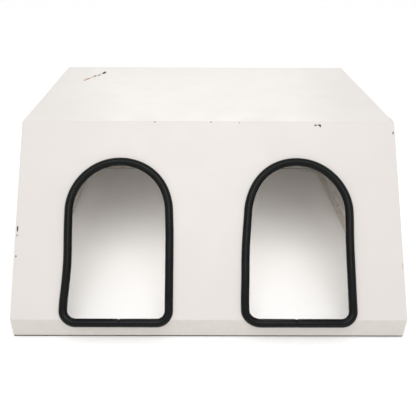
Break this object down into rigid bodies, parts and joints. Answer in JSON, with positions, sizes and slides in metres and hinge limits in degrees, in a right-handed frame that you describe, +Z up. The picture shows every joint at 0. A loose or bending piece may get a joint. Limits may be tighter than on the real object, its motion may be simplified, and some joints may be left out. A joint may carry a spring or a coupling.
{
  "type": "calf hutch",
  "caption": "Wide sheet-steel calf hutch: flat roof, sloping front with two arched rubber-edged doorways, leaning back, open base on rubber ground strips.",
  "frame": {"origin": "centre of the whole part's footprint box, on the ground", "axes": "+Z up, +X to the right seen from the front, the doorways face -Y"},
  "size_m": [2.4088, 2.482, 1.1],
  "materials": {
    "shell": "semi-gloss off-white paint",
    "inner_steel": "satin off-white paint",
    "base_frame": "matt zinc-grey primer",
    "ground_rubber": "matt black",
    "edging_rubber": "satin black",
    "fasteners": "zinc plated"
  },
  "bodies": {
    "root": {"front_panel": "shell", "roof_panel": "shell", "back_panel": "shell", "left_side_panel": "shell", "right_side_panel": "shell", "front_header": "inner_steel", "back_header": "inner_steel", "front_stiffener": "inner_steel", "back_stiffener": "inner_steel", "roof_rib_front": "inner_steel", "roof_rib_middle": "inner_steel", "roof_rib_back": "inner_steel", "front_runner": "base_frame", "back_runner": "base_frame", "left_runner": "base_frame", "right_runner": "base_frame", "corner_gussets": "base_frame", "front_ground_strip": "ground_rubber", "back_ground_strip": "ground_rubber", "left_ground_strip": "ground_rubber", "right_ground_strip": "ground_rubber", "left_door_edging": "edging_rubber", "right_door_edging": "edging_rubber", "left_side_bolts": "fasteners", "left_side_nuts": "fasteners", "right_side_bolts": "fasteners", "right_side_nuts": "fasteners", "back_runner_bolts": "fasteners", "back_runner_nuts": "fasteners", "gusset_bolts": "fasteners", "gusset_nuts": "fasteners"}
  },
  "joints": []
}
